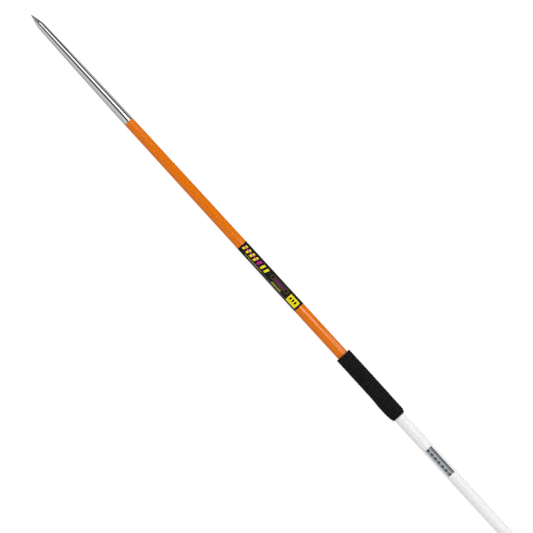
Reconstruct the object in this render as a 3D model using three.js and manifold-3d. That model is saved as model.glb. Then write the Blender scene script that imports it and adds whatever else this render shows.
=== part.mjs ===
// A 500 g class competition javelin: steel head, two-part aluminium shaft, cord grip and tail plug.
// Millimetres and +Z up. The javelin lies along X with its point towards -X.
// The origin is on the flat under the grip, half way along the grip.

import * as THREE from 'three';
import { mergeVertices } from 'three/addons/utils/BufferGeometryUtils.js';
import Module from 'manifold-3d';

const wasm = await Module();
wasm.setup();

// Lengths along the javelin
const headLength = 248.7; // from the tip to the front edge of the shaft
const frontShaftLength = 546; // front tube seen between head and grip
const gripLength = 143;
const rearShaftLength = 1112.3; // from the grip to the end of the tail
const tailPlugLength = 22; // plug seen behind the rear tube

// Diameters of the outside
const pointDiameter = 12.1; // at the point's shoulder
const headRearDiameter = 18;
const shaftFrontDiameter = 18.1;
const shaftDiameter = 20.5; // the thickest part, under and around the grip
const tailDiameter = 6;

// How the diameter falls off from the shaft to the point, and from the grip to the shaft's two ends
const headTaperPower = 1.3;
const frontTaperPower = 1.5;
const rearTaperPower = 3.13;
const headStationShares = [1, 0.8, 0.6, 0.4, 0.2, 0];
const frontStationShares = [1, 0.8, 0.6, 0.4, 0.2, 0.08, 0];
const rearStationShares = [0, 0.2, 0.32, 0.43, 0.53, 0.62, 0.71, 0.79, 0.86, 0.93, 1];

// Walls and the edge broken on each tube
const shaftWall = 1.45;
const headWall = 0.9;
const tubeEdge = 0.3;

// The point
const tipRadius = 0.8;
const pointAngle = 26; // whole angle of the cone, degrees
const shoulderBlend = 6; // how far the soft shoulder reaches each way along the point
const pointCollar = 9; // from the shoulder back to the joint with the head shell
const pointShankLength = 20; // held inside the head shell
const shankEdge = 0.6;

// The head's spigot, which enters the front tube, and the balance weight bonded in it
const spigotLength = 45;
const slugLength = 6;
const slugEdge = 0.8;

// The sleeve that joins the two tubes under the grip
const sleeveLength = 100;
const sleeveWall = 1.2;
const sleeveEdge = 0.5;

// The tail plug
const plugShankLength = 20;

// The grip: an underlay of adhesive cloth and a cord wound over it
const tapeThickness = 0.4;
const tapeInset = 2.5; // the underlay stops short of the winding at each end
const cordThickness = 2.9;
const cordWidth = 5.3; // the cord is pulled flat as it is wound
const cordGap = 0.49; // between one turn and the next
const cordEndShare = 0.75; // part of a turn that brings the cord's two ends low on the sides
const cordFlatShare = 0.1; // of the thickness, worn flat where the javelin lies on its grip
const cordSectionShares = [[0.5, 0], [0.3, 0.5], [-0.3, 0.5], [-0.5, 0], [-0.3, -0.5], [0.3, -0.5]];

// The printed wrap on the front tube and the foil sticker on the rear tube
const labelLength = 145.6;
const labelToGrip = 111.8; // from the label's rear edge to the front of the grip
const labelThickness = 0.12;
const labelSeam = 1.5; // width of the strip left bare where the wrap's edges meet
const labelStationShares = [-0.5, -0.25, 0, 0.25, 0.5];
const stickerLength = 60.2;
const stickerWidth = 14.6;
const stickerCorner = 0.8;
const stickerToGrip = 74.4; // from the rear of the grip to the sticker's front edge
const stickerThickness = 0.08;
const stickerStationShares = [-0.5, 0.5];
const facingTilt = 50; // the print faces this far from straight up, degrees

// Clearances
const buttGap = 0.1; // end to end, between turned pieces
const glueGap = 0.15; // round a bonded spigot, shank, plug or sleeve
const filmGap = 0.08; // under the tape, the label and the sticker
const windingGap = 0.3; // between the underlay and the cord

// Facets and overrun
const turnedSegments = 36;
const cordStepsPerTurn = 24;
const arcSteps = 4;
const cutOverrun = 2;

// Places along the axis, from the middle of the grip
const gripFrontX = -gripLength / 2;
const gripRearX = gripLength / 2;
const shoulderX = gripFrontX - frontShaftLength;
const tailX = gripRearX + rearShaftLength;
const rearTubeEndX = tailX - tailPlugLength;
const labelX = gripFrontX - labelToGrip - labelLength / 2;
const stickerX = gripRearX + stickerToGrip + stickerLength / 2;

// Radii that one piece takes from another
const shaftRadius = shaftDiameter / 2;
const tapeInnerRadius = shaftRadius + filmGap;
const cordInnerRadius = tapeInnerRadius + tapeThickness + windingGap;
const cordMiddleRadius = cordInnerRadius + cordThickness / 2;
const gripRadius = cordInnerRadius + cordThickness;
const axisHeight = gripRadius - cordThickness * cordFlatShare;

// The cone of the point, from the tip back to the shoulder, and the head's taper behind it
const coneAngle = THREE.MathUtils.degToRad(pointAngle / 2);
const coneStartX = tipRadius * (1 - Math.sin(coneAngle));
const coneStartRadius = tipRadius * Math.cos(coneAngle);
const coneLength = coneStartX + (pointDiameter / 2 - coneStartRadius) / Math.tan(coneAngle);
const pointLength = coneLength + pointCollar;
const pointJointRadius = headRadiusAt(pointLength);

// The spigot takes the bore at the front of the tube
const spigotRadius = shaftFrontDiameter / 2 - shaftWall - glueGap;

// Outside radius of the head, behind the cone of the point
function headRadiusAt(fromTip) {
  const share = (headLength - fromTip) / (headLength - coneLength);
  const loss = (headRearDiameter - pointDiameter) * share ** headTaperPower;
  return (headRearDiameter - loss) / 2;
}

// Outside radius of the shaft at a place along it
function shaftRadiusAt(x) {
  const frontShare = Math.max(gripFrontX - x, 0) / frontShaftLength;
  const rearShare = Math.max(x - gripRearX, 0) / rearShaftLength;
  const frontLoss = (shaftDiameter - shaftFrontDiameter) * frontShare ** frontTaperPower;
  const rearLoss = (shaftDiameter - tailDiameter) * rearShare ** rearTaperPower;
  return (shaftDiameter - frontLoss - rearLoss) / 2;
}

// Turns an outline of [x, radius] pairs about X. It runs along the outside towards +X,
// and back along the bore if there is one.
function turned(outline) {
  const profile = outline.map(([x, radius]) => new THREE.Vector2(radius, x));
  const geometry = new THREE.LatheGeometry(profile, turnedSegments);
  geometry.rotateZ(-Math.PI / 2);
  return geometry;
}

// A turned piece with a bore: the outside and the bore are both listed towards +X
function turnedTube(outside, bore) {
  const outline = [...outside, ...bore.toReversed()];
  return turned([...outline, outline[0]]);
}

function toSolid(geometry) {
  const bare = geometry.clone();
  bare.deleteAttribute('normal');
  bare.deleteAttribute('uv');
  const merged = mergeVertices(bare);
  return new wasm.Manifold(new wasm.Mesh({
    numProp: 3,
    vertProperties: new Float32Array(merged.attributes.position.array),
    triVerts: new Uint32Array(merged.index.array),
  }));
}

function toGeometry(solid) {
  const mesh = solid.getMesh();
  const geometry = new THREE.BufferGeometry();
  geometry.setAttribute('position', new THREE.BufferAttribute(mesh.vertProperties, mesh.numProp));
  geometry.setIndex(new THREE.BufferAttribute(mesh.triVerts, 1));
  geometry.computeVertexNormals();
  return geometry;
}

function addPiece(parent, name, geometry, material, x = 0) {
  const piece = new THREE.Mesh(geometry, material);
  piece.name = name;
  piece.position.x = x;
  parent.add(piece);
}

// Solid point: a blunt tip, a straight cone, a soft shoulder that runs into the head's taper,
// and a shank for the head shell. Its own zero is the joint with the shell.
function pointGeometry() {
  const tipCentreX = -pointLength + tipRadius;
  const tipArc = [];
  for (let step = 0; step <= arcSteps; step += 1) {
    const turn = (Math.PI / 2 - coneAngle) * step / arcSteps;
    tipArc.push([tipCentreX - tipRadius * Math.cos(turn), tipRadius * Math.sin(turn)]);
  }
  const blend = Math.min(shoulderBlend, pointCollar);
  const corner = new THREE.Vector2(-pointCollar, pointDiameter / 2);
  const before = new THREE.Vector2(corner.x - blend, corner.y - Math.tan(coneAngle) * blend);
  const after = new THREE.Vector2(corner.x + blend, headRadiusAt(coneLength + blend));
  const shoulder = new THREE.QuadraticBezierCurve(before, corner, after).getPoints(arcSteps);
  const shankRadius = pointJointRadius - headWall - glueGap;
  return turned([
    ...tipArc,
    ...shoulder.map((place) => [place.x, place.y]),
    [0, pointJointRadius],
    [0, shankRadius],
    [pointShankLength - shankEdge, shankRadius],
    [pointShankLength, shankRadius - shankEdge],
    [pointShankLength, 0],
  ]);
}

// Hollow tapered head, its shoulder against the tube and its spigot. Its own zero is the shoulder.
function headShellGeometry() {
  const frontX = pointLength - headLength + buttGap;
  const stations = headStationShares.map((share) => share * frontX);
  const outside = [
    ...stations.map((x) => [x, headRadiusAt(headLength + x)]),
    [0, spigotRadius],
    [spigotLength - tubeEdge, spigotRadius],
    [spigotLength, spigotRadius - tubeEdge],
  ];
  const bore = [
    ...stations.slice(0, -1).map((x) => [x, headRadiusAt(headLength + x) - headWall]),
    [-headWall, headRadiusAt(headLength - headWall) - headWall],
    [-headWall, spigotRadius - headWall],
    [spigotLength, spigotRadius - headWall],
  ];
  return turnedTube(outside, bore);
}

// Balance weight, flush with the rear end of the spigot. Its own zero is its rear face.
function balanceSlugGeometry() {
  const radius = spigotRadius - headWall - glueGap;
  return turned([
    [-slugLength, 0],
    [-slugLength, radius - slugEdge],
    [-slugLength + slugEdge, radius],
    [-slugEdge, radius],
    [0, radius - slugEdge],
    [0, 0],
  ]);
}

// Front tube, from the head's shoulder to the joint under the middle of the grip
function frontTubeGeometry() {
  const frontX = shoulderX + buttGap;
  const rearX = -buttGap / 2;
  const stations = frontStationShares.map((share) => gripFrontX - share * (gripFrontX - frontX));
  const outside = [
    [frontX, shaftRadiusAt(frontX) - tubeEdge],
    [frontX + tubeEdge, shaftRadiusAt(frontX + tubeEdge)],
    ...stations.slice(1).map((x) => [x, shaftRadiusAt(x)]),
    [rearX, shaftRadius],
  ];
  const bore = [...stations, rearX].map((x) => [x, shaftRadiusAt(x) - shaftWall]);
  return turnedTube(outside, bore);
}

// Rear tube, from the joint under the grip down to the tail plug
function rearTubeGeometry() {
  const frontX = buttGap / 2;
  const stations = rearStationShares.map((share) => gripRearX + share * (rearTubeEndX - gripRearX));
  const places = [frontX, ...stations];
  const outside = places.map((x) => [x, shaftRadiusAt(x)]);
  const bore = places.map((x) => [x, shaftRadiusAt(x) - shaftWall]);
  return turnedTube(outside, bore);
}

// Sleeve bonded inside both tubes. Its own zero is its middle.
function jointSleeveGeometry() {
  const radius = shaftRadius - shaftWall - glueGap;
  const half = sleeveLength / 2;
  const outside = [
    [-half, radius - sleeveEdge],
    [-half + sleeveEdge, radius],
    [half - sleeveEdge, radius],
    [half, radius - sleeveEdge],
  ];
  const bore = [
    [-half, radius - sleeveWall],
    [half, radius - sleeveWall],
  ];
  return turnedTube(outside, bore);
}

// Tail plug: it carries on the rear tube's taper, ends in a dome and has a shank for the bore.
// Its own zero is the end of the rear tube.
function tailPlugGeometry() {
  const shankRadius = shaftRadiusAt(rearTubeEndX) - shaftWall - glueGap;
  const domeRadius = tailDiameter / 2;
  const domeX = tailPlugLength - domeRadius;
  const dome = [];
  for (let step = 0; step <= arcSteps; step += 1) {
    const turn = Math.PI / 2 * step / arcSteps;
    dome.push([domeX + domeRadius * Math.sin(turn), domeRadius * Math.cos(turn)]);
  }
  return turned([
    [-plugShankLength, 0],
    [-plugShankLength, shankRadius],
    [buttGap, shankRadius],
    [buttGap, shaftRadiusAt(rearTubeEndX + buttGap)],
    ...dome.slice(0, -1),
    [tailPlugLength, 0],
  ]);
}

// Underlay of the winding
function gripTapeGeometry() {
  const half = gripLength / 2 - tapeInset;
  const outerRadius = tapeInnerRadius + tapeThickness;
  const outside = [[-half, outerRadius], [half, outerRadius]];
  const bore = [[-half, tapeInnerRadius], [half, tapeInnerRadius]];
  return turnedTube(outside, bore);
}

// Rings of the wound cord: a flattened section swept along a helix, with its two ends straight.
// Turn zero is at the bottom of the shaft, half way along the grip.
function cordRings() {
  const mostTurns = (gripLength - cordWidth) / (cordWidth + cordGap);
  const cordTurns = Math.floor(mostTurns - cordEndShare) + cordEndShare;
  const pitch = (gripLength - cordWidth) / cordTurns;
  const steps = Math.round(cordTurns * cordStepsPerTurn);
  const rings = [];
  for (let step = 0; step <= steps; step += 1) {
    const turns = cordTurns * (step / steps - 1 / 2);
    const angle = turns * 2 * Math.PI;
    const out = new THREE.Vector3(0, Math.sin(angle), -Math.cos(angle));
    const middle = out.clone().multiplyScalar(cordMiddleRadius).setX(pitch * turns);
    rings.push(cordSectionShares.map(([widthShare, thicknessShare]) => middle.clone()
      .add(new THREE.Vector3(cordWidth * widthShare, 0, 0))
      .addScaledVector(out, cordThickness * thicknessShare)));
  }
  const endAngle = cordTurns * Math.PI;
  const frontWay = new THREE.Vector3(0, -Math.cos(endAngle), Math.sin(endAngle));
  const rearWay = new THREE.Vector3(0, Math.cos(endAngle), Math.sin(endAngle));
  const straightOn = (ring, way) => ring.map((place) => place.clone().addScaledVector(way, cordThickness));
  return [straightOn(rings[0], frontWay), ...rings, straightOn(rings.at(-1), rearWay)];
}

// Least distance between the points of one turn and those of the next
function leastGap(rings) {
  let least = Infinity;
  for (let index = 0; index + cordStepsPerTurn < rings.length; index += 1) {
    for (const near of rings[index]) {
      for (const far of rings[index + cordStepsPerTurn]) {
        least = Math.min(least, near.distanceTo(far));
      }
    }
  }
  return least;
}

// Cord grip, cut flat underneath where the javelin lies on it
function gripCordGeometry() {
  const rings = cordRings();
  const sides = cordSectionShares.length;
  const last = (rings.length - 1) * sides;
  const faces = [];
  for (let ring = 0; ring + 1 < rings.length; ring += 1) {
    for (let side = 0; side < sides; side += 1) {
      const here = ring * sides + side;
      const next = ring * sides + (side + 1) % sides;
      faces.push(here, next, here + sides, next, next + sides, here + sides);
    }
  }
  for (let side = 1; side + 1 < sides; side += 1) {
    faces.push(0, side + 1, side);
    faces.push(last, last + side, last + side + 1);
  }
  const geometry = new THREE.BufferGeometry().setFromPoints(rings.flat());
  geometry.setIndex(faces);
  const floor = new THREE.BoxGeometry(gripLength + cutOverrun, gripRadius * 2, gripRadius);
  floor.translate(0, 0, -axisHeight - gripRadius / 2);
  console.log(`grip_cord: least gap between turns ${leastGap(rings).toFixed(2)} mm`);
  return toGeometry(toSolid(geometry).subtract(toSolid(floor)));
}

// A film on the shaft, a full ring about its own middle
function filmRing(middleX, length, shares, thickness) {
  const places = shares.map((share) => share * length);
  const inner = places.map((x) => [x, shaftRadiusAt(middleX + x) + filmGap]);
  const outer = inner.map(([x, radius]) => [x, radius + thickness]);
  return turnedTube(outer, inner);
}

// Printed wrap round the front tube, open along a narrow seam on the far side from the print
function labelGeometry() {
  const reach = shaftDiameter;
  const seam = new THREE.BoxGeometry(labelLength + cutOverrun, labelSeam, reach);
  seam.translate(0, 0, -reach / 2);
  seam.rotateX(THREE.MathUtils.degToRad(facingTilt));
  const ring = filmRing(labelX, labelLength, labelStationShares, labelThickness);
  return toGeometry(toSolid(ring).subtract(toSolid(seam)));
}

// Foil sticker with rounded corners on the same side as the print
function stickerGeometry() {
  const along = stickerLength / 2 - stickerCorner;
  const across = stickerWidth / 2 - stickerCorner;
  const outline = new THREE.Shape();
  outline.absarc(along, across, stickerCorner, 0, Math.PI / 2);
  outline.absarc(-along, across, stickerCorner, Math.PI / 2, Math.PI);
  outline.absarc(-along, -across, stickerCorner, Math.PI, Math.PI * 3 / 2);
  outline.absarc(along, -across, stickerCorner, Math.PI * 3 / 2, Math.PI * 2);
  const blank = new THREE.ExtrudeGeometry(outline, {
    depth: shaftDiameter,
    bevelEnabled: false,
    curveSegments: arcSteps,
  });
  blank.rotateX(THREE.MathUtils.degToRad(facingTilt));
  const ring = filmRing(stickerX, stickerLength + cutOverrun, stickerStationShares, stickerThickness);
  return toGeometry(toSolid(ring).intersect(toSolid(blank)));
}

const steel = new THREE.MeshStandardMaterial({ color: 0xb9bcc0, roughness: 0.25, metalness: 1 });
const plainSteel = new THREE.MeshStandardMaterial({ color: 0x6f7275, roughness: 0.5, metalness: 1 });
const bareAluminium = new THREE.MeshStandardMaterial({ color: 0xaeb2b6, roughness: 0.45, metalness: 1 });
const orangePaint = new THREE.MeshStandardMaterial({ color: 0xdc7012, roughness: 0.3, metalness: 0 });
const whitePaint = new THREE.MeshStandardMaterial({ color: 0xefefec, roughness: 0.35, metalness: 0 });
const blackFilm = new THREE.MeshStandardMaterial({ color: 0x1a1a1d, roughness: 0.3, metalness: 0 });
const foil = new THREE.MeshStandardMaterial({ color: 0x9a8fa8, roughness: 0.25, metalness: 0.6 });
const blackCord = new THREE.MeshStandardMaterial({ color: 0x181818, roughness: 0.9, metalness: 0 });
const clothTape = new THREE.MeshStandardMaterial({ color: 0x2c2a28, roughness: 0.95, metalness: 0 });
const blackPlastic = new THREE.MeshStandardMaterial({ color: 0x202022, roughness: 0.55, metalness: 0 });

const javelin = new THREE.Group();
javelin.position.z = axisHeight;

const head = new THREE.Group();
head.position.x = shoulderX;
addPiece(head, 'point', pointGeometry(), steel, pointLength - headLength);
addPiece(head, 'head_shell', headShellGeometry(), steel);
addPiece(head, 'balance_slug', balanceSlugGeometry(), plainSteel, spigotLength);

const shaft = new THREE.Group();
addPiece(shaft, 'shaft_front', frontTubeGeometry(), orangePaint);
addPiece(shaft, 'shaft_rear', rearTubeGeometry(), whitePaint);
addPiece(shaft, 'joint_sleeve', jointSleeveGeometry(), bareAluminium);
addPiece(shaft, 'label_wrap', labelGeometry(), blackFilm, labelX);
addPiece(shaft, 'foil_sticker', stickerGeometry(), foil, stickerX);
addPiece(shaft, 'tail_plug', tailPlugGeometry(), blackPlastic, rearTubeEndX);

const grip = new THREE.Group();
addPiece(grip, 'grip_tape', gripTapeGeometry(), clothTape);
addPiece(grip, 'grip_cord', gripCordGeometry(), blackCord);

javelin.add(head, shaft, grip);

export default javelin;
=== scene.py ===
import math
import random

import bmesh
import bpy
from mathutils import Matrix, Vector


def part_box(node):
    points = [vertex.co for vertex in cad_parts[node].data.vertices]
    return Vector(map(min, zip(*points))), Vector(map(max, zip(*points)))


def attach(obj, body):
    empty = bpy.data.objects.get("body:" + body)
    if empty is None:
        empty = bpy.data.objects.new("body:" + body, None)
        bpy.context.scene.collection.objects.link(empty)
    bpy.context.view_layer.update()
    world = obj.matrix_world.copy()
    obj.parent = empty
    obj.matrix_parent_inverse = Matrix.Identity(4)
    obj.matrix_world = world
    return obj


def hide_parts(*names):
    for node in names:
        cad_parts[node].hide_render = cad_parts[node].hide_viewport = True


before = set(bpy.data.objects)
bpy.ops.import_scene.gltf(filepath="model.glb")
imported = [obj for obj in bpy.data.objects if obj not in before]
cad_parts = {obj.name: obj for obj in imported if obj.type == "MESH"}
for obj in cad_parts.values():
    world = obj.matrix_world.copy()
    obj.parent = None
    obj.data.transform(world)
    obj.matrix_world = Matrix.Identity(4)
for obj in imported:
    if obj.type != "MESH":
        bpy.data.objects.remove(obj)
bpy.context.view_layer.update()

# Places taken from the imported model
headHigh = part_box("head_shell")[1]
tubeLow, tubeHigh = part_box("shaft_front")
tapeLow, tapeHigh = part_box("grip_tape")
cordLow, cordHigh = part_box("grip_cord")
axisZ = (tubeLow.z + tubeHigh.z) / 2
tubeRadius = (tubeHigh.z - tubeLow.z) / 2
tapeRadius = (tapeHigh.y - tapeLow.y) / 2
gripRadius = (cordHigh.y - cordLow.y) / 2
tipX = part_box("point")[0].x
shoulderX = tubeLow.x
gripFrontX = cordLow.x
gripRearX = cordHigh.x
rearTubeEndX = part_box("shaft_rear")[1].x
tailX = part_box("tail_plug")[1].x
print("frame loaded with", len(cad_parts), "nodes")


# Camera: the javelin runs down to the right and leaves the picture behind the foil patch

photo = {
    "tip": (30.87, 14.61),  # px, where the point starts
    "farEnd": (506.28, 533.83),  # px, where the shaft leaves the picture
    "side": 533,  # px, of the square picture
    "pixelSize": 0.00172,  # metres at the javelin
    "elevation": 40,  # degrees above the floor
    "lens": 400,  # mm
    "sensor": 36,  # mm
}

facing = math.radians(photo["elevation"])  # the side that the print and the patch face
facingUp = Vector((0, math.sin(facing), math.cos(facing)))
facingOut = Vector((0, -math.cos(facing), math.sin(facing)))


def addCamera():
    tip = Vector(photo["tip"])
    middle = Vector((photo["side"] / 2, photo["side"] / 2))
    way = (Vector(photo["farEnd"]) - tip).normalized()
    across = Vector((way.y, -way.x))
    alongShaft = tipX + (middle - tip).dot(way) * photo["pixelSize"]
    offShaft = (middle - tip).dot(across) * photo["pixelSize"]
    shaftWay = Vector((1, 0, 0))
    right = shaftWay * way.x + facingUp * way.y
    up = facingUp * way.x - shaftWay * way.y
    distance = photo["pixelSize"] * photo["side"] * photo["lens"] / photo["sensor"] + tubeRadius
    place = Vector((alongShaft, 0, axisZ)) + facingUp * offShaft + facingOut * distance
    lens = bpy.data.cameras.new("camera")
    lens.lens = photo["lens"]
    lens.sensor_width = photo["sensor"]
    camera = bpy.data.objects.new("camera", lens)
    turned = Matrix((right, up, facingOut)).transposed().to_4x4()
    camera.matrix_world = Matrix.Translation(place) @ turned
    bpy.context.scene.collection.objects.link(camera)
    bpy.context.scene.camera = camera


addCamera()
print("camera placed")


# Node tools

noiseSpread = (0.3, 0.7)  # nearly all values of a noise lie between these
noiseCore = (0.35, 0.65)  # most of them lie between these


def feed(tree, socket, value):
    if isinstance(value, bpy.types.NodeSocket):
        tree.links.new(value, socket)
    else:
        socket.default_value = value


def addNode(tree, kind, inputs=None, **settings):
    node = tree.nodes.new(kind)
    for key, value in settings.items():
        setattr(node, key, value)
    for key, value in (inputs or {}).items():
        feed(tree, node.inputs[key], value)
    return node


def calculate(tree, operation, *values):
    return addNode(tree, "ShaderNodeMath", dict(enumerate(values)), operation=operation).outputs[0]


# The mix node takes colours at its sockets 6 and 7 and gives one at its output 2.
def mixColours(tree, mask, under, over):
    return addNode(tree, "ShaderNodeMix", {0: mask, 6: under, 7: over}, data_type="RGBA").outputs[2]


def remap(tree, value, low, high, start=0, end=1):
    ends = {"Value": value, "From Min": start, "From Max": end, "To Min": low, "To Max": high}
    return addNode(tree, "ShaderNodeMapRange", ends).outputs[0]


def noise(tree, place, size, detail=2):
    inputs = {"Vector": place, "Scale": calculate(tree, "DIVIDE", 1, size), "Detail": detail}
    return addNode(tree, "ShaderNodeTexNoise", inputs).outputs[0]


# Studio: softboxes along the javelin, a pale floor and a plain surround

studio = {
    "distance": 4.0,
    "nearer": 0.02,  # how far a panel that is only mirrored stands in front of the others
    "panels": [
        # name, elevation and spread in degrees, where it starts and ends along X, brightness,
        # whether it lights surfaces, whether shiny surfaces mirror it
        ("softbox", 69, 43, -5.0, 5.0, 2.4, True, False),
        ("overhead fill", 115, 50, -5.0, 5.0, 0.75, True, False),
        ("front fill", 29, 34, -5.0, 5.0, 0.24, True, False),
        ("low front panel", 6.7, 13.4, -5.0, 5.0, 0.62, True, True),
        ("low rear panel", 155, 50, -5.0, 5.0, 0.5, True, False),
        ("head's highlight", 73.5, 40, -2.6, -0.79, 1.12, False, True),
        ("head's lower highlight", 15, 3, -0.95, -0.75, 0.62, False, True),
        ("cone's highlight", 73.5, 40, -3.8, -2.6, 0.3, False, True),
        ("head's far highlight", 73.5, 40, -9.0, -3.8, 1.12, False, True),
        ("point's rim", 163, 34, -5.0, -1.05, 0.36, False, True),
        ("head's rim", 156, 48, -1.05, -0.75, 0.5, False, True),
        ("joint's highlight", 70.5, 40, -0.79, -0.752, 4.4, False, True),
        ("front tube's highlight", 70.5, 38, -0.37, -0.06, 6.2, False, True),
        ("grip's highlight", 112, 42, -0.06, 0.1, 2.6, False, True),
        ("highlight before the grip", 72, 38, -0.06, 0.1, 2.6, False, True),
        ("rear highlight", 69, 43, 0.1, 5.0, 0.7, False, True),
        ("rear rim", 155, 50, 0.1, 5.0, 0.7, False, True),
    ],
    "floorSide": 24.0,
    "floorColour": (0.08, 0.08, 0.08, 1),
    "floorRoughness": 0.9,
    "floorGlow": 0.95,
    "mirroredGlow": (0.47, 0.12),  # what shiny surfaces see of the floor before and behind the javelin; the dimmer glow behind and under it is painted shadow
    "mirroredFade": (-0.02, 0.006),  # where along Y the one turns into the other
    "mirroredBehindHead": 0.7,  # share of that glow which is left behind the head, a painted shade on the floor that the shaft mirrors
    "behindHead": (-0.62, -0.612),  # where along X that starts
    "surround": 0.97,  # as the camera sees it
    "surroundLight": 0.03,  # as it lights the javelin
}


def addPanel(name, elevation, spread, startX, endX, brightness, lights, mirrored):
    light = bpy.data.lights.new(name, "AREA")
    light.shape = "RECTANGLE"
    light.size = endX - startX
    light.size_y = 2 * studio["distance"] * math.tan(math.radians(spread / 2))
    light.energy = brightness * math.pi * light.size * light.size_y
    distance = studio["distance"] - (0 if lights else studio["nearer"])
    angle = math.radians(elevation)
    panel = bpy.data.objects.new(name, light)
    away = Vector((0, -math.cos(angle), math.sin(angle))) * distance
    panel.location = away + Vector(((startX + endX) / 2, 0, axisZ))
    panel.rotation_euler = (math.pi / 2 - angle, 0, 0)
    panel.visible_camera = False
    panel.visible_diffuse = lights
    panel.visible_glossy = mirrored
    bpy.context.scene.collection.objects.link(panel)


def addFloor():
    half = studio["floorSide"] / 2
    mesh = bpy.data.meshes.new("floor")
    corners = [(-half, -half, 0), (half, -half, 0), (half, half, 0), (-half, half, 0)]
    mesh.from_pydata(corners, [], [(0, 1, 2, 3)])
    floor = bpy.data.objects.new("floor", mesh)
    bpy.context.scene.collection.objects.link(floor)
    material = bpy.data.materials.new("pale floor")
    material.use_nodes = True
    tree = material.node_tree
    shader = tree.nodes["Principled BSDF"]
    shader.inputs["Base Color"].default_value = studio["floorColour"]
    shader.inputs["Roughness"].default_value = studio["floorRoughness"]
    shader.inputs["Specular IOR Level"].default_value = 0
    shader.inputs["Emission Color"].default_value = (1, 1, 1, 1)
    path = addNode(tree, "ShaderNodeLightPath")
    place = addNode(tree, "ShaderNodeNewGeometry").outputs["Position"]
    axes = addNode(tree, "ShaderNodeSeparateXYZ", {0: place}).outputs
    # Painted shadow: shiny surfaces see the floor's glow dimmer under and behind the javelin and behind
    # its head.
    mirrored = remap(tree, axes["Y"], *studio["mirroredGlow"], *studio["mirroredFade"])
    share = remap(tree, axes["X"], 1, studio["mirroredBehindHead"], *studio["behindHead"])
    mirrored = calculate(tree, "MULTIPLY", mirrored, share)
    glow = remap(tree, path.outputs["Is Glossy Ray"], studio["floorGlow"], mirrored)
    tree.links.new(glow, shader.inputs["Emission Strength"])
    mesh.materials.append(material)


def setSurround():
    world = bpy.data.worlds.new("studio")
    world.use_nodes = True
    tree = world.node_tree
    background = tree.nodes["Background"]
    background.inputs["Color"].default_value = (1, 1, 1, 1)
    path = addNode(tree, "ShaderNodeLightPath")
    strength = remap(tree, path.outputs["Is Camera Ray"], studio["surroundLight"], studio["surround"])
    tree.links.new(strength, background.inputs["Strength"])
    bpy.context.scene.world = world


for panelSettings in studio["panels"]:
    addPanel(*panelSettings)
addFloor()
setSurround()
bpy.context.scene.view_settings.view_transform = "Standard"
print("studio lit")


# Effects that several materials share

effects = {
    "scratchScale": (60, 1800, 1800),  # per metre: long along the shaft and fine across it
    "wearFade": 0.4,  # how much higher the noise must be to wear a place one reach away from the edge
    "wearLimits": (0.42, 0.5),  # values of that noise at which a place starts to wear and is bare
    "fibreShare": 0.2,  # thickness of a fibre as a share of the strands' spacing
}


def newGroup(name, inputs, outputs):
    tree = bpy.data.node_groups.new(name, "ShaderNodeTree")
    for socketName, value in inputs.items():
        kind = "NodeSocketVector" if value is None else "NodeSocketFloat"
        socket = tree.interface.new_socket(socketName, in_out="INPUT", socket_type=kind)
        if value is not None:
            socket.default_value = value
    for socketName in outputs:
        tree.interface.new_socket(socketName, in_out="OUTPUT", socket_type="NodeSocketFloat")
    return tree, tree.nodes.new("NodeGroupInput").outputs, tree.nodes.new("NodeGroupOutput").inputs


def useGroup(tree, group, **inputs):
    node = addNode(tree, "ShaderNodeGroup", node_tree=group)
    for key, value in inputs.items():
        feed(tree, node.inputs[key], value)
    return node.outputs


def newMaterial(name, **fixed):
    material = bpy.data.materials.new(name)
    material.use_nodes = True
    tree = material.node_tree
    shader = tree.nodes["Principled BSDF"]
    for key, value in fixed.items():
        shader.inputs[key].default_value = value
    place = addNode(tree, "ShaderNodeTexCoord").outputs["Object"]
    return material, tree, shader, place


def addBump(tree, shader, height, depth):
    bump = addNode(tree, "ShaderNodeBump", {"Height": height, "Distance": depth})
    tree.links.new(bump.outputs["Normal"], shader.inputs["Normal"])


# Length along the shaft, and distance round it from the middle of the side that faces the viewer
def makeUnrolled():
    tree, given, made = newGroup(
        "unrolled surface", {"Place": None, "Facing": facing}, ["Along", "Around"]
    )
    axes = addNode(tree, "ShaderNodeSeparateXYZ", {0: given["Place"]}).outputs
    sine = calculate(tree, "SINE", given["Facing"])
    cosine = calculate(tree, "COSINE", given["Facing"])
    upward = calculate(tree, "MULTIPLY", axes["Z"], cosine)
    up = calculate(tree, "MULTIPLY_ADD", axes["Y"], sine, upward)
    backward = calculate(tree, "MULTIPLY", axes["Y"], cosine)
    out = calculate(tree, "SUBTRACT", calculate(tree, "MULTIPLY", axes["Z"], sine), backward)
    squared = calculate(tree, "MULTIPLY_ADD", up, up, calculate(tree, "MULTIPLY", out, out))
    radius = calculate(tree, "SQRT", squared)
    angle = calculate(tree, "ARCTAN2", up, out)
    tree.links.new(axes["X"], made["Along"])
    tree.links.new(calculate(tree, "MULTIPLY", angle, radius), made["Around"])
    return tree


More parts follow.
